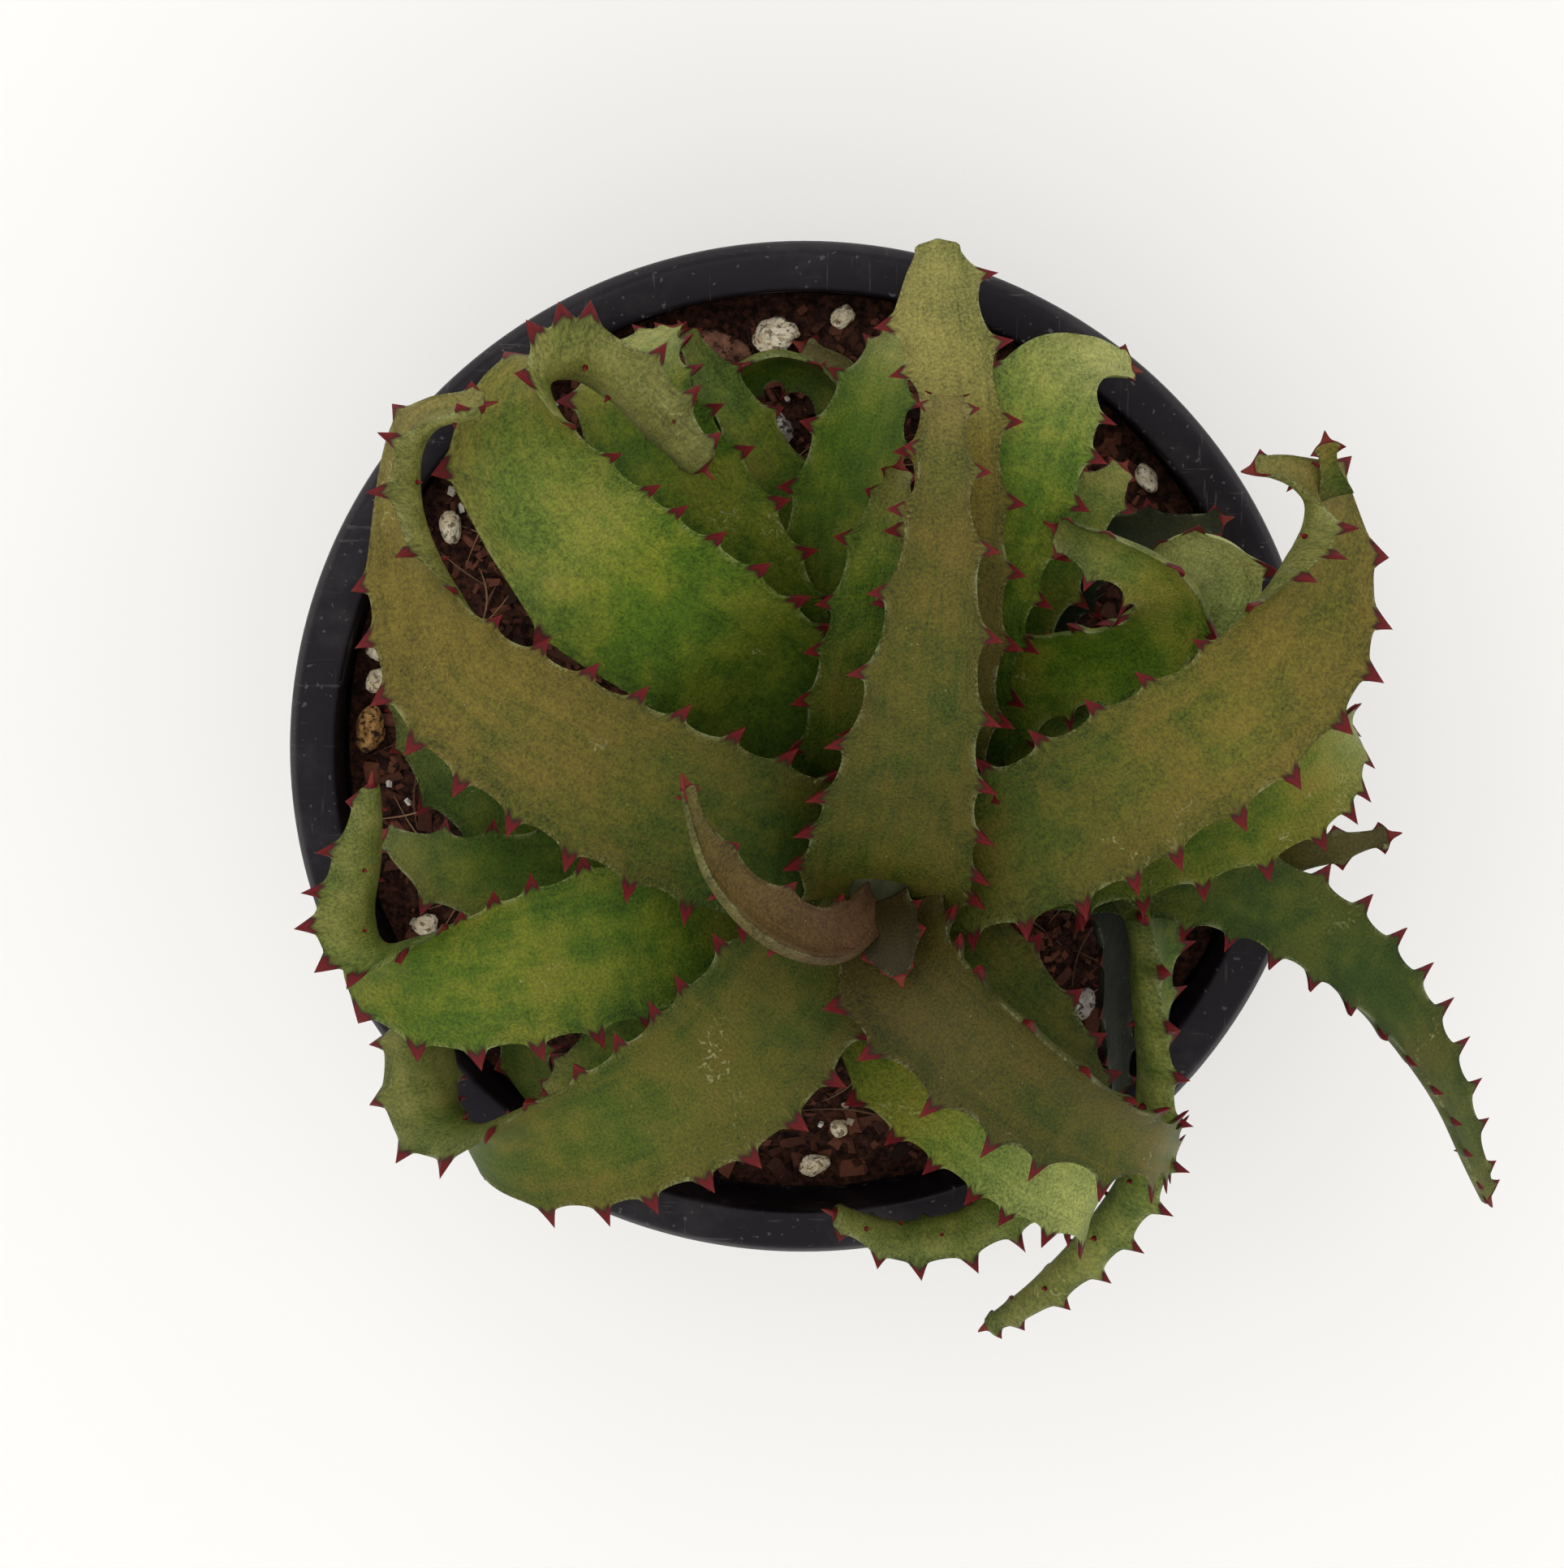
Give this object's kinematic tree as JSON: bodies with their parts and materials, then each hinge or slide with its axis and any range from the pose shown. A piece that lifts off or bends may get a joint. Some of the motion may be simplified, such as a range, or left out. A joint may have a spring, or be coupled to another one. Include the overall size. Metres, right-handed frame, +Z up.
{
  "type": "potted aloe",
  "caption": "Small spotted aloe with curling, red-toothed leaves in a round black nursery pot filled with coir mix and loose stones.",
  "frame": {"origin": "centre of the pot's underside, on the surface that the pot stands on", "axes": "+Z up along the pot's axis; +X toward the long drooping leaf; +Y toward the longest straight leaf"},
  "size_m": [0.107, 0.0969, 0.113],
  "materials": {
    "pot_plastic": "thin black plastic, dusty and finely scratched",
    "potting_mix": "loose reddish-brown coir chips and fibres",
    "stem_skin": "matte, ringed with dry leaf bases",
    "leaf_bronze": "bronze green, finely grained, red teeth on a pale margin",
    "leaf_green": "yellow green, finely grained, red teeth on a pale margin",
    "leaf_dark": "dull green, finely grained, red teeth on a pale margin",
    "pale_stone": "rough porous pumice and perlite",
    "lava_stone": "rough reddish lava"
  },
  "bodies": {
    "root": {"pot": "pot_plastic", "soil": "potting_mix", "stem": "stem_skin", "leaf_bud": "leaf_bronze", "leaf_young_sickle": "leaf_bronze", "leaf_north_upper": "leaf_bronze", "leaf_southeast_upper": "leaf_bronze", "leaf_west_upper": "leaf_bronze", "leaf_southwest_upper": "leaf_bronze", "leaf_east_upper": "leaf_bronze", "leaf_north_middle": "leaf_green", "leaf_west_middle": "leaf_green", "leaf_northwest_middle": "leaf_green", "leaf_east_middle": "leaf_green", "leaf_southeast_middle": "leaf_green", "leaf_south_middle": "leaf_green", "leaf_north_left_middle": "leaf_green", "leaf_northeast_middle": "leaf_green", "leaf_north_lower": "leaf_dark", "leaf_northwest_lower": "leaf_dark", "leaf_northeast_lower": "leaf_dark", "leaf_northeast_outer": "leaf_green", "leaf_southeast_drooping": "leaf_dark", "leaf_east_drooping": "leaf_dark", "leaf_north_low": "leaf_dark", "leaf_north_arch": "leaf_dark", "leaf_northeast_low": "leaf_dark", "leaf_northeast_dark": "leaf_dark", "leaf_east_low": "leaf_dark", "leaf_southeast_dark": "leaf_dark", "leaf_west_low": "leaf_dark", "leaf_west_dark": "leaf_dark", "leaf_southwest_low": "leaf_dark", "leaf_southwest_dark": "leaf_dark", "leaf_north_dry": "leaf_dark", "stone_cream_north": "pale_stone", "stone_red_chip": "lava_stone", "stone_pumice": "pale_stone", "stone_cream_northwest": "pale_stone", "stone_cream_west_upper": "pale_stone", "stone_cream_west_lower": "pale_stone", "stone_lava": "lava_stone", "stone_white_north": "pale_stone", "stone_cream_east": "pale_stone", "stone_cream_southwest": "pale_stone", "stone_cream_south": "pale_stone", "stone_white_south": "pale_stone", "stone_tan_east": "pale_stone", "stone_pale_southeast": "pale_stone"}
  },
  "joints": []
}
